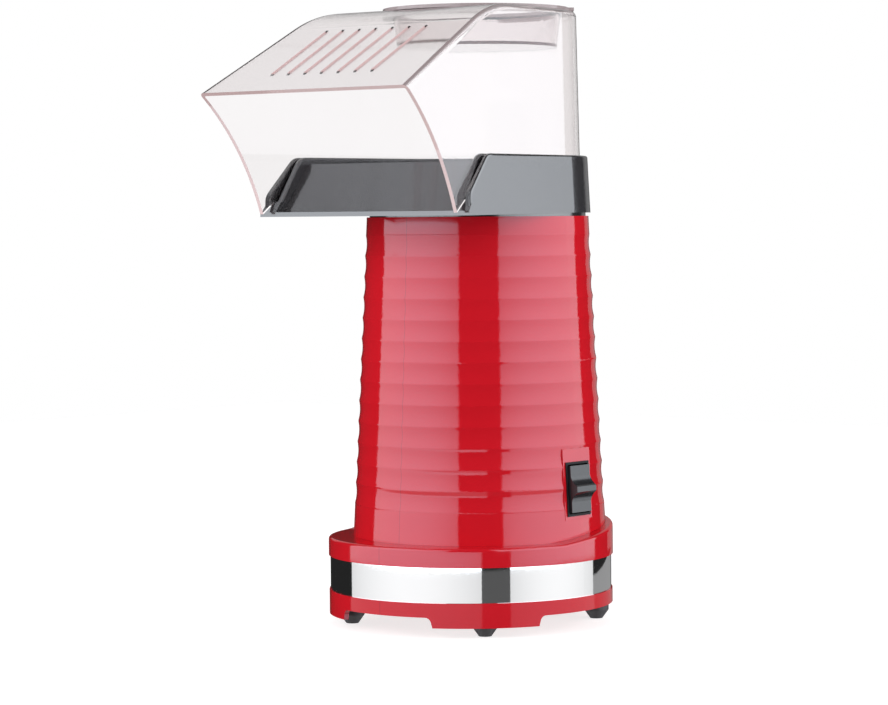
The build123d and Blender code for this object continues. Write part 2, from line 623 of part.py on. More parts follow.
def motor_can():
    can = post(MOTOR_RADIUS, MOTOR_Z, PLATE_Z)
    can -= post(MOTOR_RADIUS - MOTOR_SHEET, MOTOR_Z - CUT, PLATE_Z - MOTOR_SHEET)
    can += post(MOTOR_NOSE, PLATE_Z - BUSH_LENGTH + PLATE_THICK, CAN_Z)
    can -= post(BUSH_RADIUS + SNUG_GAP, PLATE_Z - BUSH_LENGTH, CAN_Z + CUT)
    for x in (MOTOR_SCREW_CIRCLE, -MOTOR_SCREW_CIRCLE):
        can -= post(MOTOR_SCREW[2] + SNUG_GAP, PLATE_Z - MOTOR_SHEET - CUT, PLATE_Z + CUT, x)
    return can


def motor_end_bell():
    bell = post(MOTOR_RADIUS, BELL_Z, MOTOR_Z)
    bell += post(MOTOR_RADIUS - MOTOR_SHEET - SNUG_GAP, MOTOR_Z, MOTOR_Z + END_SPIGOT)
    bell += post(BOARD_NOSE - SLIP_GAP, BELL_Z - BOARD_THICK, BELL_Z)
    return bell - post(BUSH_RADIUS + SNUG_GAP, BELL_Z - BOARD_THICK - CUT, MOTOR_Z + END_SPIGOT + CUT)


def motor_bushes():
    bore = SHAFT_RADIUS + RUNNING_GAP
    upper = tube(BUSH_RADIUS, bore, CAN_Z - BUSH_LENGTH, CAN_Z)
    lower = tube(BUSH_RADIUS, bore, BELL_Z - BOARD_THICK, BELL_Z - BOARD_THICK + BUSH_LENGTH)
    return group([upper, lower])


def motor_magnets():
    outer = MOTOR_RADIUS - MOTOR_SHEET - SNUG_GAP
    ring = tube(outer, outer - MAGNET_THICK, MOTOR_Z + MAGNET_MARGIN, PLATE_Z - MAGNET_MARGIN)
    half = MAGNET_SPAN / 2
    reach = 2 * MOTOR_RADIUS
    return group([ring & wedge(side - half, side + half, reach, MOTOR_Z, PLATE_Z) for side in (90, 270)])


def motor_shaft():
    return post(SHAFT_RADIUS, BELL_Z - BOARD_THICK - SHAFT_TAIL, FAN_Z + FAN_HEIGHT)


def armature():
    low = (MOTOR_Z + PLATE_Z - ARMATURE_LENGTH) / 2
    core = post(ARMATURE_RADIUS, low, low + ARMATURE_LENGTH)
    width, depth = ARMATURE_SLOT
    slot = Box(depth + CUT, width, ARMATURE_LENGTH, align=UPRIGHT)
    slot = Pos(ARMATURE_RADIUS + (CUT - depth) / 2, 0, low) * slot
    core -= [Rot(0, 0, 360 / ARMATURE_SLOTS * i) * slot for i in range(ARMATURE_SLOTS)]
    foot = MOTOR_Z + END_SPIGOT + SLIP_GAP
    core += post(COMMUTATOR_RADIUS, foot, low)
    return core - post(SHAFT_RADIUS + RUNNING_GAP, foot - CUT, low + ARMATURE_LENGTH + CUT)


def fan():
    wheel = post(FAN_HUB, FAN_Z, FAN_Z + FAN_HEIGHT)
    length = FAN_RADIUS - FAN_HUB / 2
    rise = (FAN_HEIGHT - FAN_BLADE * cos(radians(FAN_PITCH))) / sin(radians(FAN_PITCH))
    blade = Pos(FAN_HUB / 2 + length / 2, 0, FAN_Z + FAN_HEIGHT / 2) * Rot(FAN_PITCH, 0, 0) * Box(
        length, rise, FAN_BLADE)
    wheel += [Rot(0, 0, 360 / FAN_BLADES * i) * blade for i in range(FAN_BLADES)]
    wheel &= post(FAN_RADIUS, FAN_Z, FAN_Z + FAN_HEIGHT)
    return wheel - post(SHAFT_RADIUS + RUNNING_GAP, FAN_Z - CUT, FAN_Z + FAN_HEIGHT + CUT)


def rectifier_board():
    return tube(BOARD_RADIUS, BOARD_NOSE, BELL_Z - BOARD_THICK, BELL_Z)


def rectifier_diodes():
    z = BELL_Z - BOARD_THICK - DIODE_RADIUS - RUNNING_GAP
    diode = Pos(DIODE_CIRCLE, 0, z) * Rot(90, 0, 0) * Cylinder(DIODE_RADIUS, DIODE_LENGTH)
    return group([Rot(0, 0, 360 / DIODES * i) * diode for i in range(DIODES)])


# Switch pieces, built with +Z out of the wall and +Y up it
def switch_body():
    width = SWITCH_WIDTH - 2 * BEZEL_LIP - 2 * SNUG_GAP
    height = SWITCH_HEIGHT - 2 * BEZEL_LIP - 2 * SNUG_GAP
    body = Pos(0, 0, BEZEL / 2) * Box(SWITCH_WIDTH, SWITCH_HEIGHT, BEZEL)
    body += Pos(0, 0, -SWITCH_DEPTH / 2) * Box(width, height, SWITCH_DEPTH)
    well = SWITCH_DEPTH - SWITCH_WALL
    body -= Pos(0, 0, (BEZEL + CUT - well) / 2) * Box(
        width - 2 * SWITCH_WALL, height - 2 * SWITCH_WALL, well + BEZEL + CUT)
    pin_hole = Pos(0, 0, -PIVOT_DEPTH) * Rot(0, 90, 0) * Cylinder(PIN_RADIUS, SWITCH_WIDTH)
    return switch_place() * (body - pin_hole)


def rocker():
    half_width = SWITCH_WIDTH / 2 - BEZEL_LIP - SNUG_GAP - SWITCH_WALL - SLIP_GAP
    end = SWITCH_HEIGHT / 2 - BEZEL_LIP - SNUG_GAP - SWITCH_WALL - SLIP_GAP
    foot, top = ROCKER_RIDGE_FOOT, ROCKER_RIDGE_HALF
    middle = (foot + top) / 2
    hollow = ROCKER_PANEL + (ROCKER_RIDGE - ROCKER_PANEL) / 3
    edges = Polyline((-foot, ROCKER_PANEL), (-end, ROCKER_PANEL), (-end, -ROCKER_DEPTH),
                     (end, -ROCKER_DEPTH), (end, ROCKER_PANEL), (foot, ROCKER_PANEL)).edges()
    edges += [ThreePointArc((foot, ROCKER_PANEL), (middle, hollow), (top, ROCKER_RIDGE)),
              Line((top, ROCKER_RIDGE), (-top, ROCKER_RIDGE)),
              ThreePointArc((-top, ROCKER_RIDGE), (-middle, hollow), (-foot, ROCKER_PANEL))]
    body = extrude(Plane.YZ * make_face(edges), half_width, both=True)
    across = Pos(0, 0, -PIVOT_DEPTH) * Rot(0, 90, 0)
    body &= across * Cylinder(end, SWITCH_WIDTH)
    return switch_place() * (body - across * Cylinder(PIN_RADIUS + RUNNING_GAP, SWITCH_WIDTH))


def rocker_pin():
    length = SWITCH_WIDTH - 2 * BEZEL_LIP - 2 * SNUG_GAP
    return switch_place() * Pos(0, 0, -PIVOT_DEPTH) * Rot(0, 90, 0) * Cylinder(PIN_RADIUS, length)


def switch_terminals():
    width, thick, length = TERMINAL
    tab = Pos(0, 0, -SWITCH_DEPTH - length / 2) * Box(width, thick, length)
    rows = [TERMINAL_PITCH * (i - (TERMINALS - 1) / 2) for i in range(TERMINALS)]
    return group([switch_place() * Pos(0, row, 0) * tab for row in rows])


# Cord inlet, along +Y
def cord_gland():
    length = GLAND_PAD_THICK + 2 * GLAND_NUT
    shank = Pos(0, -length / 2, 0) * Rot(90, 0, 0) * Cylinder(GLAND_SHANK, length)
    flange = Pos(0, GLAND_FLANGE_THICK / 2, 0) * Rot(90, 0, 0) * Cylinder(GLAND_FLANGE, GLAND_FLANGE_THICK)
    bore = Rot(90, 0, 0) * Cylinder(GLAND_BORE, 2 * (length + CUT))
    return Pos(0, gland_face(), GLAND_Z) * (shank + flange - bore)


def gland_nut():
    nut = extrude(RegularPolygon(GLAND_FLANGE, 6) - Circle(GLAND_SHANK + SNUG_GAP), GLAND_NUT)
    return Pos(0, gland_face() - GLAND_PAD_THICK, GLAND_Z) * Rot(90, 0, 0) * nut


# Collar, hood and cup
def throat(z):
    return CHAMBER_RADIUS


def groove_outer(z):
    return hood_radius(HOOD_TIP_Z) + SLIP_GAP


def groove_inner(z):
    return hood_radius(z) - HOOD_WALL - SLIP_GAP


def front_wall(outer, inner, flare, front_edge):
    """Upright wall between two plans, its front cut to a side outline and rounded."""
    low, high = COLLAR_Z, COLLAR_TOP_Z
    back = 2 * COLLAR_RADIUS
    wall = plan_solid(outer, COLLAR_FRONT, low, high, flare)
    wall -= plan_solid(inner, COLLAR_FRONT + CUT, low - CUT, high + CUT)
    front = FilletPolyline(*front_edge, (back, high), radius=WALL_ROUND)
    rest = Polyline((back, high), (back, low), front_edge[0])
    wall &= extrude(Plane.YZ * make_face(front.edges() + rest.edges()), back, both=True)
    rim = [e for e in wall.edges() if e.center().Z > low + CUT]
    return fillet(rim, COLLAR_ROUND)


def chute_collar():
    low, high = COLLAR_Z, COLLAR_TOP_Z
    under = low - LIP_DROP
    back = 2 * COLLAR_RADIUS
    lip = low + LIP_HEIGHT
    wall_edge = ((-WALL_FRONT, under), (-WALL_FRONT, low + WALL_KNEE), (-WALL_TOP_FRONT, high))
    outer_wall = front_wall(collar_radius, groove_outer, COLLAR_FLARE, wall_edge)
    ridge_edge = ((-RIDGE_FRONT, under), (-RIDGE_FRONT, lip), (-RIDGE_TOP_FRONT, high))
    ridge = front_wall(groove_inner, throat, HOOD_FLARE, ridge_edge)
    floor = plan_solid(collar_radius, COLLAR_FRONT, under, GROOVE_Z, COLLAR_FLARE)
    floor -= plan_solid(throat, COLLAR_FRONT + CUT, under - CUT, GROOVE_Z + CUT)
    floor &= slab(back, (back, low), (0, low), (-COLLAR_FRONT, under), (-COLLAR_FRONT, lip),
                  (-HOOD_TIP + HOOD_TIP_RUN, GROOVE_Z), (back, GROOVE_Z))
    return outer_wall + ridge + floor + chute_ramp() + collar_spigot()


def chute_ramp():
    """Plate that rises from the front lip to a crest, then runs level to the throat."""
    low = COLLAR_Z
    lip = low + LIP_HEIGHT
    top = low + RAMP_TOP
    plate = COLLAR_PLATE
    edge = CHAMBER_RADIUS + CUT
    run = (RAMP_FOOT - RAMP_CREST) / (RAMP_TOP - LIP_HEIGHT)
    under = [(-RAMP_FOOT + (z - lip) * run + plate * hypot(1, run), z) for z in (low, top - plate)]
    ramp = slab(2 * COLLAR_RADIUS, (-edge, low), (-edge, top), (-RAMP_CREST, top), (-RAMP_FOOT, lip),
                (-COLLAR_FRONT, lip), (-COLLAR_FRONT, low - LIP_DROP), *under, (-edge - plate, top - plate),
                (-edge - plate, low))
    return ramp & plan_solid(lambda z: throat(z) + CUT, COLLAR_FRONT, low - LIP_DROP, COLLAR_TOP_Z)


def collar_spigot():
    low = COLLAR_Z
    outside = housing_bore(HOUSING_TOP_Z) - SLIP_GAP
    ring = tube(outside, outside - SPIGOT_WALL, SPIGOT_Z, low + COLLAR_PLATE)
    ring += tube(HOUSING_TOP_RADIUS - NECK_INSET, outside - SPIGOT_WALL, HOUSING_TOP_Z, low + CUT)
    plate = plan_solid(lambda z: throat(z) + CUT, outside, low, low + COLLAR_PLATE)
    plate -= post(CHAMBER_RADIUS, low - CUT, low + COLLAR_PLATE + CUT)
    return ring + plate


def canopy(inset):
    """Closed form of the hood, a given distance inside its outside."""
    slope = atan2(HOOD_TOP_Z - HOOD_LIP_Z, HOOD_LIP - HOOD_BREAK)
    top = HOOD_TOP_Z - inset
    peak = -HOOD_BREAK + inset * tan(slope / 2)
    front = HOOD_LIP + HOOD_CORNER
    back = 2 * HOOD_RADIUS
    low = COLLAR_Z - CUT
    line = FilletPolyline((-2 * front, top - tan(slope) * (2 * front + peak)), (peak, top), (back, top),
                          radius=HOOD_BREAK_ROUND - inset)
    rest = Polyline((back, top), (back, low), (-2 * front, low - 2 * front),
                    (-2 * front, top - tan(slope) * (2 * front + peak)))
    side = extrude(Plane.YZ * make_face(line.edges() + rest.edges()), back, both=True)
    form = side & plan_solid(lambda z: hood_radius(z) - inset, front, low, HOOD_TOP_Z + HOOD_CORNER)
    faces = [(f, f.normal_at(f.center()).Z) for f in form.faces() if f.center().Y > -front + CUT]
    tops = [f for f, upward in faces if upward > cos(slope) ** 2]
    side_edges = [e for f, upward in faces if abs(upward) < sin(slope) for e in f.edges()]
    rims = [e for f in tops for e in f.edges() if any(e.is_same(s) for s in side_edges)]
    return fillet(rims, HOOD_CORNER - inset)


def mouth_outline():
    """Side outline that cuts the hood's mouth and lower edge."""
    lip = (-HOOD_LIP, HOOD_LIP_Z)
    tip = (-HOOD_TIP, HOOD_TIP_Z)
    run, fall = tip[0] - lip[0], tip[1] - lip[1]
    length = hypot(run, fall)
    inwards = (-fall / length * MOUTH_BULGE, run / length * MOUTH_BULGE)
    middle = ((lip[0] + tip[0]) / 2 + inwards[0], (lip[1] + tip[1]) / 2 + inwards[1])
    over = HOOD_TOP_Z + CUT
    back = 2 * HOOD_RADIUS
    rest = Polyline(tip, (-HOOD_TIP + HOOD_TIP_RUN, HOOD_EDGE_Z), (back, HOOD_EDGE_Z), (back, over),
                    (-HOOD_LIP, over), lip)
    return make_face([ThreePointArc(lip, middle, tip)] + rest.edges())


def hood():
    shell = canopy(0) - canopy(HOOD_WALL)
    shell &= extrude(Plane.YZ * mouth_outline(), 2 * HOOD_RADIUS, both=True)
    vent = Rot(0, 0, 90) * SlotOverall(VENT_FRONT - VENT_REAR, VENT_WIDTH)
    vent = Pos(0, -(VENT_FRONT + VENT_REAR) / 2, HOOD_LIP_Z) * extrude(vent, HOOD_RISE)
    shell -= [Pos(VENT_PITCH * (i - (VENTS - 1) / 2), 0, 0) * vent for i in range(VENTS)]
    return shell - post(CUP_RADIUS + SLIP_GAP, HOOD_TOP_Z - HOOD_WALL - CUT, HOOD_TOP_Z + CUT)


def measuring_cup():
    low = HOOD_TOP_Z - CUP_DEPTH
    high = HOOD_TOP_Z + CUP_RIM
    foot = CUP_RADIUS - CUP_TAPER
    cup = turned((0, low), (foot, low), (CUP_RADIUS, HOOD_TOP_Z), (CUP_RIM_RADIUS, HOOD_TOP_Z),
                 (CUP_RIM_RADIUS, high), (CUP_RADIUS - CUP_WALL, high), (foot - CUP_WALL, low + CUP_WALL),
                 (0, low + CUP_WALL))
    tab = Box(CUP_TAB, CUP_TAB_REACH, CUP_RIM, align=UPRIGHT)
    return cup + Rot(0, 0, CUP_TAB_ANGLE) * Pos(0, -CUP_RADIUS - CUP_TAB_REACH / 2, HOOD_TOP_Z) * tab


NODES = (
    base_tray, rubber_feet, chrome_band, base_flange, base_screws, housing, chamber_seat,
    popping_chamber, thermostat, heater_can, mica_frame, heater_element, thermal_fuse, motor_plate,
    plate_screws, motor_screws, motor_can, motor_end_bell, motor_bushes, motor_magnets, motor_shaft,
    armature, fan, rectifier_board, rectifier_diodes, switch_body, rocker, rocker_pin, switch_terminals,
    cord_gland, gland_nut, chute_collar, hood, measuring_cup,
)

# The middle of the whole depth, from the hood's lip to the cord inlet or the base's back
REAR = max(gland_face() + GLAND_FLANGE_THICK, FLANGE_RADIUS - BASE_FORWARD)
AXIS_Y = (HOOD_LIP - REAR) / 2

os.makedirs("parts", exist_ok=True)
for make in NODES:
    export_step(Pos(0, AXIS_Y, 0) * make(), f"parts/{make.__name__}.step")
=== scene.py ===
from math import cos, radians, sin

import bpy
from mathutils import Matrix, Vector


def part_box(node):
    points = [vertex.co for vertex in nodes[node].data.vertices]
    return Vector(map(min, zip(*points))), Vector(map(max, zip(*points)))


# A hot-air popcorn maker on a white floor. Metres, +Z up, front towards -Y.
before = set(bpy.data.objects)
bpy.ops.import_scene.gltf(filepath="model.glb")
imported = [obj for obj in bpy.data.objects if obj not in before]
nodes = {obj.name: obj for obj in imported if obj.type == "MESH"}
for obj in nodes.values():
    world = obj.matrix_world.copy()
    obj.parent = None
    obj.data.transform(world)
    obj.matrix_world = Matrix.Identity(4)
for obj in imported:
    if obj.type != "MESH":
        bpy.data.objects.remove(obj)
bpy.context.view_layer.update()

# Camera
CAMERA_AZIMUTH = 38.45      # degrees round to the right of the front
CAMERA_DISTANCE = 1.531     # from the housing's axis
CAMERA_HEIGHT = 0.1983
CAMERA_YAW = 0.634
CAMERA_PITCH = -2.5
CAMERA_ROLL = -0.439
CAMERA_LENS = 126.5

# Lamps: azimuth in degrees from the camera's side, positive to the right
LAMPS = {"lamp_right": 70.0, "lamp_left": -68.0}
LAMP_SIZE = (2.3, 1.0)
LAMP_DISTANCE = 1.2
LAMP_POWER = 20.0
ROOM_LIGHT = 0.4
FLOOR_SIZE = 2.6
FLOOR_GLOW = 0.76
FLOOR_COLOUR = 0.45
FLOOR_ROUGHNESS = 0.6
FLOOR_GLOSS = 0.2

# What mirrored rays meet round the object: the softboxes' faces and dark or grey cloth between them.
# Each has two elevations, then the azimuths of its two sides, and again at the upper one if they differ.
SOFTBOX_COLOUR = (0.95, 1.0, 1.06)
SOFTBOX_STRENGTH = (2.0, 3.2)    # at the sides and in the middle
CLOTH_STRENGTH = 0.02
GREY_STRENGTH = 0.32
THROUGH_PLASTIC = (0.25, 1.2)    # strength low and high up, for rays that have passed clear plastic
BEHIND_PLASTIC = 0.85            # least strength for those that come straight from it
THROUGH_HEIGHTS = (1.8, 2.6)     # where low ends and high starts
PANEL_FADE = (0.8, 1.2, (-1.6, 1.6))   # share of the strength at two heights
PANEL_RADIUS = 4.0
PANEL_STEPS = 24
PANELS = {
    "softbox_right": ((-14, 62), (21, 118.5)),
    "softbox_right_floor": ((-45, -14), (75, 125), (21, 118.5)),
    "softbox_left": ((-14, 62), (-112, -19.5)),
    "softbox_left_floor": ((-45, -14), (-125, -75), (-112, -19.5)),
    "cloth_front": ((-14, 62), (-19.5, 21)),
    "cloth_front_floor": ((-45, -14), (-75, 75), (-19.5, 21)),
    "cloth_right": ((-14, 62), (118.5, 146)),
    "cloth_right_floor": ((-45, -14), (125, 146), (118.5, 146)),
    "grey_right": ((-45, 62), (146, 165)),
    "cloth_left": ((-14, 62), (-145, -112)),
    "cloth_left_floor": ((-45, -14), (-145, -125), (-145, -112)),
    "grey_left": ((10, 62), (-165, -145)),
    "cloth_left_back": ((-45, 10), (-165, -145)),
    "grey_back": ((10, 62), (165, 195)),
    "cloth_back": ((-45, 10), (165, 195)),
    "cloth_ceiling": ((62, 89), (0, 360)),
}
# Those behind the object, which don't show through the clear plastic
HIDDEN_BEHIND = ("grey_back", "cloth_back", "grey_left", "cloth_left_back", "grey_right",
                 "cloth_ceiling")

# Low panels close by, given in the same way, which the upright faces of the base mirror
PAPER_STRENGTH = (0.82, 1.08)    # white paper on the floor, at the sides and in the middle
SHADE_STRENGTH = 0.1
NEAR_RADIUS = 0.25
NEAR_PANELS = {
    "paper_right": ((-8, 2.75), (26, 104.3)),
    "paper_left": ((-8, 2.75), (-98.7, 6.3)),
    "shade_front": ((-8, 2.75), (6.3, 26)),
    "softbox_right_low": ((2.75, 5.6), (26, 104.3)),
    "softbox_left_low": ((2.75, 5.6), (-98.7, 6.3)),
    "cloth_front_low": ((2.75, 5.6), (6.3, 26)),
    "cloth_right_low": ((0.3, 2.75), (104.3, 108.4), (104.3, 144)),
    "grey_right_low": ((0.3, 2.75), (108.4, 144), (144, 144)),
    "grey_right_paper": ((-8, 0.3), (104.3, 144)),
}

# Marks on the surfaces, some of them painted shade
PARTING_LINE = 0.0002       # half width
PARTING_SHADE = 0.6
# Directions of the mouth's edge and the lower tips, whose faces get painted shade, each with the cosine
# of its spread
CUT_FACINGS = (((0.0, -0.827, -0.563), 0.93), ((0.0, 0.62, -0.785), 0.997))
VENTS_REACH = 0.033         # vents lie within this distance of the middle
VENT_FACING = 0.95          # their sides' normals have at least this sideways share
PLASTIC_TINT = (0.8, 0.72, 0.72)   # absorption colour
HOOD_DENSITY = 70.0
CUP_DENSITY = 160.0
# The share below is how much painted dark mauve shade covers the hood's rounded edges and the cup's rim.
EDGE_SHADE_SHARE = 0.8            # how far the hood's rounded edges and the cup's rim hide what is behind
BEND_START = 0.15           # sideways share of the normal where a rounded edge starts
BEND_FADE = (0.5, 0.95)     # and where it ends, gradually
BEND_UPWARD = 0.1           # least upward share

housing_low, housing_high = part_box("housing")
AXIS_Y = (housing_low[1] + housing_high[1]) / 2
HOOD_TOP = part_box("hood")[1][2]


def around(azimuth, distance, height):
    """Point at an angle from the camera's side of the housing's axis."""
    angle = radians(CAMERA_AZIMUTH + azimuth)
    return Vector((distance * sin(angle), AXIS_Y - distance * cos(angle), height))


# Node helpers
def tree_of(holder):
    holder.use_nodes = True
    holder.node_tree.nodes.clear()
    return holder.node_tree


def add(tree, kind, **settings):
    """New node with some of its attributes set."""
    node = tree.nodes.new(kind)
    for key, value in settings.items():
        setattr(node, key, value)
    return node


def link(tree, source, target):
    tree.links.new(source, target)


def math_node(tree, operation, first, second=0.5):
    node = add(tree, "ShaderNodeMath", operation=operation)
    for socket, value in zip(node.inputs, (first, second)):
        if isinstance(value, (int, float)):
            socket.default_value = value
        else:
            link(tree, value, socket)
    return node.outputs[0]


def noise(tree, coordinates, scale, detail=3.0, stretch=None):
    """Noise over the object's own coordinates, stretched along some axes if asked."""
    if stretch:
        mapping = add(tree, "ShaderNodeMapping")
        mapping.inputs["Scale"].default_value = stretch
        link(tree, coordinates, mapping.inputs["Vector"])
        coordinates = mapping.outputs["Vector"]
    node = add(tree, "ShaderNodeTexNoise")
    node.inputs["Scale"].default_value = scale
    node.inputs["Detail"].default_value = detail
    link(tree, coordinates, node.inputs["Vector"])
    return node.outputs["Fac"]


def spread(tree, value, low, high, source=(0.3, 0.7)):
    """Value of a source range, by default the one where noise mostly lies, spread over another."""
    node = add(tree, "ShaderNodeMapRange")
    ends = ("From Min", "From Max", "To Min", "To Max")
    for name, number in zip(ends, (*source, low, high)):
        node.inputs[name].default_value = number
    link(tree, value, node.inputs["Value"])
    return node.outputs["Result"]


def blend_colours(tree, first, second, share):
    """Mix of two colours; each is a colour or another node's output."""
    node = add(tree, "ShaderNodeMix", data_type="RGBA")
    for socket, value in ((node.inputs[6], first), (node.inputs[7], second)):
        if isinstance(value, tuple):
            socket.default_value = (*value, 1.0)
        else:
            link(tree, value, socket)
    link(tree, share, node.inputs[0])
    return node.outputs[2]


def surface(name, colours, roughness, grain=900.0, relief=0.00002, patches=14.0, stretch=None,
            marks=(), tint=None, **sockets):
    """Procedural finish: two close colours in soft patches, uneven gloss and a fine relief.

    Marks are parts of the surface, each with a colour that isn't see-through; some are the thing's own
    lines, some painted shade.
    A tint is the absorption colour and density inside a clear piece.
    """
    material = bpy.data.materials.new(name)
    tree = tree_of(material)
    output = add(tree, "ShaderNodeOutputMaterial")
    shader = add(tree, "ShaderNodeBsdfPrincipled")
    link(tree, shader.outputs["BSDF"], output.inputs["Surface"])
    for socket, value in sockets.items():
        shader.inputs[socket.replace("_", " ")].default_value = value
    coordinates = add(tree, "ShaderNodeTexCoord")
    place = coordinates.outputs["Object"]
    patch = spread(tree, noise(tree, place, patches, stretch=stretch), 0.0, 1.0)
    colour = blend_colours(tree, *colours, patch)
    clearness = sockets.get("Transmission_Weight", 0.0)
    for mark, mark_colour in marks:
        share = mark(tree, coordinates)
        colour = blend_colours(tree, colour, mark_colour, share)
        clearness = math_node(tree, "MULTIPLY", clearness, math_node(tree, "SUBTRACT", 1.0, share))
    if marks and "Transmission_Weight" in sockets:
        link(tree, clearness, shader.inputs["Transmission Weight"])
    link(tree, colour, shader.inputs["Base Color"])
    fine = noise(tree, place, grain, stretch=stretch)
    link(tree, spread(tree, fine, *roughness), shader.inputs["Roughness"])
    bump = add(tree, "ShaderNodeBump")
    bump.inputs["Distance"].default_value = relief
    link(tree, fine, bump.inputs["Height"])
    link(tree, bump.outputs["Normal"], shader.inputs["Normal"])
    if tint:
        absorption = add(tree, "ShaderNodeVolumeAbsorption")
        absorption.inputs["Color"].default_value = (*tint[0], 1.0)
        absorption.inputs["Density"].default_value = tint[1]
        link(tree, absorption.outputs["Volume"], output.inputs["Volume"])
    return material


def parting_line(tree, coordinates):
    """Hairline of the mould down the middle of the housing's front."""
    axes = add(tree, "ShaderNodeSeparateXYZ")
    link(tree, coordinates.outputs["Object"], axes.inputs["Vector"])
    near = math_node(tree, "LESS_THAN", math_node(tree, "ABSOLUTE", axes.outputs["X"]), PARTING_LINE)
    front = math_node(tree, "LESS_THAN", axes.outputs["Y"], AXIS_Y)
    return math_node(tree, "MULTIPLY", math_node(tree, "MULTIPLY", near, front), PARTING_SHADE)


def cut_face_shade(tree, coordinates):
    """Faces of the hood that are cut through its wall: its edges and the vents' sides. They get a
    painted pale pink shade.
    """
    shares = []
    for direction, nearness in CUT_FACINGS:
        facing = add(tree, "ShaderNodeVectorMath", operation="DOT_PRODUCT")
        link(tree, coordinates.outputs["Normal"], facing.inputs[0])
        facing.inputs[1].default_value = direction
        shares.append(math_node(tree, "GREATER_THAN", facing.outputs["Value"], nearness))
    across = []
    for source in ("Normal", "Object"):
        axes = add(tree, "ShaderNodeSeparateXYZ")
        link(tree, coordinates.outputs[source], axes.inputs["Vector"])
        across.append(math_node(tree, "ABSOLUTE", axes.outputs["X"]))
    sideways = math_node(tree, "GREATER_THAN", across[0], VENT_FACING)
    inside = math_node(tree, "LESS_THAN", across[1], VENTS_REACH)
    vents = math_node(tree, "MULTIPLY", sideways, inside)
    return math_node(tree, "MAXIMUM", math_node(tree, "MAXIMUM", *shares), vents)


def rounded_edge_shade(tree, coordinates):
    """Rounded edges between the hood's sides and its top, which get a painted dark mauve shade."""
    axes = add(tree, "ShaderNodeSeparateXYZ")
    link(tree, coordinates.outputs["Normal"], axes.inputs["Vector"])
    across = math_node(tree, "ABSOLUTE", axes.outputs["X"])
    start = math_node(tree, "GREATER_THAN", across, BEND_START)
    turned = math_node(tree, "MULTIPLY", start, spread(tree, across, 1.0, 0.0, BEND_FADE))
    upward = math_node(tree, "GREATER_THAN", axes.outputs["Z"], BEND_UPWARD)
    return math_node(tree, "MULTIPLY", math_node(tree, "MULTIPLY", turned, upward), EDGE_SHADE_SHARE)


def cup_rim_shade(tree, coordinates):
    """Rim of the cup, which stands above the hood. It gets a painted dark mauve shade."""
    axes = add(tree, "ShaderNodeSeparateXYZ")
    link(tree, coordinates.outputs["Object"], axes.inputs["Vector"])
    above = math_node(tree, "GREATER_THAN", axes.outputs["Z"], HOOD_TOP)
    return math_node(tree, "MULTIPLY", above, EDGE_SHADE_SHARE)


# Materials
red = surface("red_gloss", ((0.52, 0.007, 0.014), (0.55, 0.009, 0.018)), (0.05, 0.09), relief=0.00001,
              marks=((parting_line, (0.25, 0.004, 0.008)),), Specular_Tint=(0.8, 1.0, 1.16, 1.0))
black = surface("black_gloss", ((0.025, 0.024, 0.027), (0.031, 0.03, 0.033)), (0.1, 0.17), IOR=1.95)
satin_black = surface("satin_black", ((0.015, 0.015, 0.017), (0.02, 0.02, 0.022)), (0.12, 0.2))
matt_black = surface("matt_black", ((0.006, 0.006, 0.007), (0.011, 0.011, 0.012)), (0.45, 0.6),
                     Specular_IOR_Level=0.15)
# Clear hood; its rounded edges are painted a dark mauve shade.
clear = surface("clear_plastic", ((0.985, 0.97, 0.97), (0.995, 0.985, 0.985)), (0.0, 0.02),
                relief=0.000004, tint=(PLASTIC_TINT, HOOD_DENSITY),
                # The hood's cut faces are painted a pale pink shade.
                marks=((rounded_edge_shade, (0.29, 0.19, 0.2)), (cut_face_shade, (0.62, 0.46, 0.46))),
                Transmission_Weight=1.0, IOR=1.49)
# Clear cup; its rim is painted a dark mauve shade.
cup_clear = surface("cup_plastic", ((0.985, 0.97, 0.97), (0.995, 0.985, 0.985)), (0.0, 0.02),
                    relief=0.000004, tint=(PLASTIC_TINT, CUP_DENSITY),
                    marks=((cup_rim_shade, (0.26, 0.19, 0.2)),), Transmission_Weight=1.0, IOR=1.35)
chrome = surface("chrome", ((0.86, 0.87, 0.88), (0.9, 0.9, 0.91)), (0.03, 0.06), relief=0.000002,
                 Metallic=1.0)
rubber = surface("rubber", ((0.02, 0.018, 0.02), (0.035, 0.032, 0.035)), (0.45, 0.65), relief=0.00004)
aluminium = surface("aluminium", ((0.74, 0.74, 0.75), (0.84, 0.84, 0.85)), (0.22, 0.38),
                    stretch=(1.0, 1.0, 12.0), Metallic=1.0)
sheet_steel = surface("sheet_steel", ((0.5, 0.51, 0.52), (0.66, 0.67, 0.68)), (0.3, 0.5), Metallic=1.0)
bright_steel = surface("bright_steel", ((0.6, 0.6, 0.61), (0.7, 0.7, 0.71)), (0.18, 0.3), Metallic=1.0)
dark_plastic = surface("dark_plastic", ((0.05, 0.05, 0.053), (0.07, 0.07, 0.073)), (0.4, 0.55))
mica = surface("mica", ((0.5, 0.42, 0.3), (0.68, 0.6, 0.46)), (0.4, 0.6), patches=120.0)
heater_metal = surface("heater_metal", ((0.22, 0.2, 0.19), (0.4, 0.37, 0.34)), (0.4, 0.6), Metallic=1.0)
bakelite = surface("bakelite", ((0.07, 0.05, 0.04), (0.1, 0.08, 0.07)), (0.3, 0.45))
cream_plastic = surface("cream_plastic", ((0.78, 0.76, 0.7), (0.84, 0.82, 0.77)), (0.35, 0.5))
magnet = surface("magnet", ((0.06, 0.06, 0.065), (0.1, 0.1, 0.11)), (0.5, 0.7))
bronze = surface("bronze", ((0.5, 0.33, 0.16), (0.62, 0.43, 0.22)), (0.3, 0.5), Metallic=1.0)
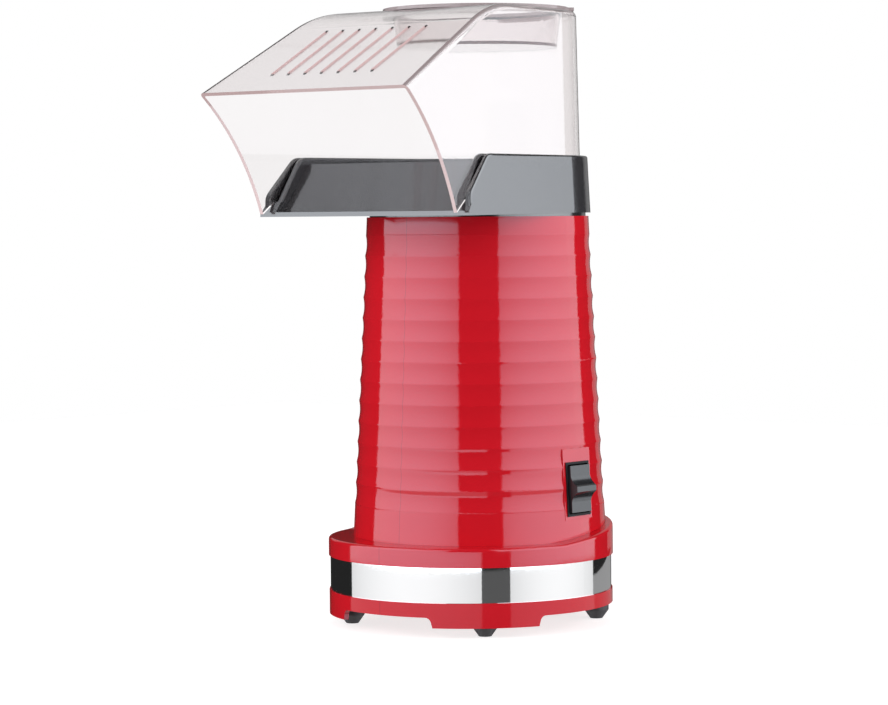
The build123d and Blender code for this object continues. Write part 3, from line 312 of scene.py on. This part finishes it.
winding = surface("winding", ((0.32, 0.16, 0.08), (0.42, 0.25, 0.14)), (0.3, 0.5), Metallic=1.0)
nylon = surface("nylon", ((0.84, 0.84, 0.82), (0.9, 0.9, 0.88)), (0.35, 0.5))
board = surface("board", ((0.02, 0.16, 0.05), (0.03, 0.22, 0.08)), (0.3, 0.45))
brass = surface("brass", ((0.68, 0.5, 0.22), (0.78, 0.6, 0.3)), (0.2, 0.35), Metallic=1.0)

FINISHES = {
    red: ("housing", "base_flange", "base_tray"),
    black: ("chute_collar",),
    satin_black: ("rocker",),
    matt_black: ("switch_body", "cord_gland", "gland_nut"),
    clear: ("hood",),
    cup_clear: ("measuring_cup",),
    chrome: ("chrome_band",),
    rubber: ("rubber_feet",),
    aluminium: ("popping_chamber",),
    sheet_steel: ("heater_can", "motor_plate", "motor_can"),
    bright_steel: ("motor_shaft", "rocker_pin", "base_screws", "plate_screws", "motor_screws",
                   "thermal_fuse"),
    dark_plastic: ("chamber_seat", "rectifier_diodes"),
    mica: ("mica_frame",),
    heater_metal: ("heater_element",),
    bakelite: ("thermostat",),
    cream_plastic: ("motor_end_bell",),
    magnet: ("motor_magnets",),
    bronze: ("motor_bushes",),
    winding: ("armature",),
    nylon: ("fan",),
    board: ("rectifier_board",),
    brass: ("switch_terminals",),
}
for material, names in FINISHES.items():
    for name in names:
        for slot in nodes[name].material_slots:
            slot.material = material

# Clear pieces let the lamps through
for name in ("hood", "measuring_cup"):
    nodes[name].visible_shadow = False


# Stage
def seen_share(tree):
    """1 for rays that show the background: straight, mirrored or through clear plastic."""
    rays = add(tree, "ShaderNodeLightPath")
    seen = math_node(tree, "MAXIMUM", rays.outputs["Is Camera Ray"], rays.outputs["Is Glossy Ray"])
    return math_node(tree, "MAXIMUM", seen, rays.outputs["Is Transmission Ray"])


def white_floor():
    bpy.ops.mesh.primitive_plane_add(size=FLOOR_SIZE, location=(0, AXIS_Y, 0))
    floor = bpy.context.object
    floor.name = "floor"
    material = bpy.data.materials.new("white_floor")
    tree = tree_of(material)
    output = add(tree, "ShaderNodeOutputMaterial")
    shader = add(tree, "ShaderNodeBsdfPrincipled")
    shader.inputs["Base Color"].default_value = (FLOOR_COLOUR, FLOOR_COLOUR, FLOOR_COLOUR, 1)
    shader.inputs["Roughness"].default_value = FLOOR_ROUGHNESS
    shader.inputs["Specular IOR Level"].default_value = FLOOR_GLOSS
    shader.inputs["Emission Color"].default_value = (1, 1, 1, 1)
    glow = math_node(tree, "MULTIPLY", seen_share(tree), FLOOR_GLOW)
    link(tree, glow, shader.inputs["Emission Strength"])
    link(tree, shader.outputs["BSDF"], output.inputs["Surface"])
    floor.data.materials.append(material)
    floor.visible_glossy = False


def panel(name, radius, elevations, low_sides, high_sides, shows_through):
    """Curved panel that only mirrored rays meet, or also those that have passed clear plastic."""
    points = []
    for elevation, sides in zip(elevations, (low_sides, high_sides)):
        reach = radius * cos(radians(elevation))
        height = radius * sin(radians(elevation))
        for i in range(PANEL_STEPS + 1):
            points.append(around(sides[0] + (sides[1] - sides[0]) * i / PANEL_STEPS, reach, height))
    row = PANEL_STEPS + 1
    mesh = bpy.data.meshes.new(name)
    mesh.from_pydata(points, [], [(i, i + 1, row + i + 1, row + i) for i in range(PANEL_STEPS)])
    share = mesh.attributes.new("share", "FLOAT", "POINT")
    share.data.foreach_set("value", [i / PANEL_STEPS for i in range(row)] * 2)
    mesh.materials.append(faces[name.split("_")[0]])
    face = bpy.data.objects.new(name, mesh)
    bpy.context.collection.objects.link(face)
    face.visible_camera = False
    face.visible_diffuse = False
    face.visible_transmission = shows_through
    face.visible_volume_scatter = False
    face.visible_shadow = False


def glow(name, colour, strength, middle=None):
    """Even light, or light that grows from a panel's sides to its middle.

    It grows a little with height, and rays that have passed clear plastic meet a softened one.
    """
    material = bpy.data.materials.new(name)
    tree = tree_of(material)
    output = add(tree, "ShaderNodeOutputMaterial")
    emission = add(tree, "ShaderNodeEmission")
    emission.inputs["Color"].default_value = (*colour, 1)
    power = strength
    if middle:
        share = add(tree, "ShaderNodeAttribute", attribute_name="share").outputs["Fac"]
        hump = math_node(tree, "MULTIPLY", share, math_node(tree, "SUBTRACT", 1.0, share))
        rise = math_node(tree, "MULTIPLY", hump, 4.0 * (middle - strength))
        power = math_node(tree, "ADD", rise, strength)
    height = add(tree, "ShaderNodeSeparateXYZ")
    link(tree, add(tree, "ShaderNodeNewGeometry").outputs["Position"], height.inputs["Vector"])
    power = math_node(tree, "MULTIPLY", power, spread(tree, height.outputs["Z"], *PANEL_FADE))
    rays = add(tree, "ShaderNodeLightPath")
    passed = math_node(tree, "GREATER_THAN", rays.outputs["Transmission Depth"], 0.5)
    behind = math_node(tree, "MULTIPLY", rays.outputs["Is Transmission Ray"], BEHIND_PLASTIC)
    direct = math_node(tree, "MULTIPLY", math_node(tree, "SUBTRACT", 1.0, passed), power)
    ceiling = spread(tree, height.outputs["Z"], *THROUGH_PLASTIC, THROUGH_HEIGHTS)
    softened = math_node(tree, "MULTIPLY", passed, math_node(tree, "MAXIMUM", ceiling, behind))
    link(tree, math_node(tree, "ADD", direct, softened), emission.inputs["Strength"])
    link(tree, emission.outputs["Emission"], output.inputs["Surface"])
    material.cycles.emission_sampling = "NONE"
    return material


def lamp(name, azimuth):
    light = bpy.data.lights.new(name, "AREA")
    light.shape = "RECTANGLE"
    light.size, light.size_y = LAMP_SIZE
    light.energy = LAMP_POWER
    holder = bpy.data.objects.new(name, light)
    bpy.context.collection.objects.link(holder)
    middle = LAMP_SIZE[1] / 2
    holder.location = around(azimuth, LAMP_DISTANCE, middle)
    inwards = around(0, 0, middle) - holder.location
    holder.rotation_euler = inwards.to_track_quat("-Z", "Y").to_euler()
    holder.visible_camera = False
    holder.visible_glossy = False
    holder.visible_transmission = False


white_floor()
faces = {
    "softbox": glow("softbox", SOFTBOX_COLOUR, *SOFTBOX_STRENGTH),
    "cloth": glow("cloth", (1, 1, 1), CLOTH_STRENGTH),
    "grey": glow("grey", (1, 1, 1), GREY_STRENGTH),
    "paper": glow("paper", (1, 1, 1), *PAPER_STRENGTH),
    "shade": glow("shade", (1, 1, 1), SHADE_STRENGTH),
}
for name, (elevations, *sides) in PANELS.items():
    panel(name, PANEL_RADIUS, elevations, sides[0], sides[-1], name not in HIDDEN_BEHIND)
for name, (elevations, *sides) in NEAR_PANELS.items():
    panel(name, NEAR_RADIUS, elevations, sides[0], sides[-1], False)
for name, azimuth in LAMPS.items():
    lamp(name, azimuth)

world = bpy.data.worlds.new("white_room")
bpy.context.scene.world = world
tree = tree_of(world)
output = add(tree, "ShaderNodeOutputWorld")
background = add(tree, "ShaderNodeBackground")
background.inputs["Color"].default_value = (1, 1, 1, 1)
share = seen_share(tree)
strength = math_node(tree, "MULTIPLY", share, 1.0 - ROOM_LIGHT)
link(tree, math_node(tree, "ADD", strength, ROOM_LIGHT), background.inputs["Strength"])
link(tree, background.outputs["Background"], output.inputs["Surface"])

# Camera
view = bpy.data.cameras.new("view")
view.sensor_fit = "HORIZONTAL"
view.sensor_width = 36.0
view.lens = CAMERA_LENS
camera = bpy.data.objects.new("view", view)
bpy.context.collection.objects.link(camera)
turn = Matrix.Rotation(radians(CAMERA_AZIMUTH + CAMERA_YAW), 4, "Z")
tilt = Matrix.Rotation(radians(90 + CAMERA_PITCH), 4, "X")
roll = Matrix.Rotation(radians(CAMERA_ROLL), 4, "Z")
camera.matrix_world = Matrix.Translation(around(0, CAMERA_DISTANCE, CAMERA_HEIGHT)) @ turn @ tilt @ roll
bpy.context.scene.camera = camera
bpy.context.scene.view_settings.view_transform = "Standard"
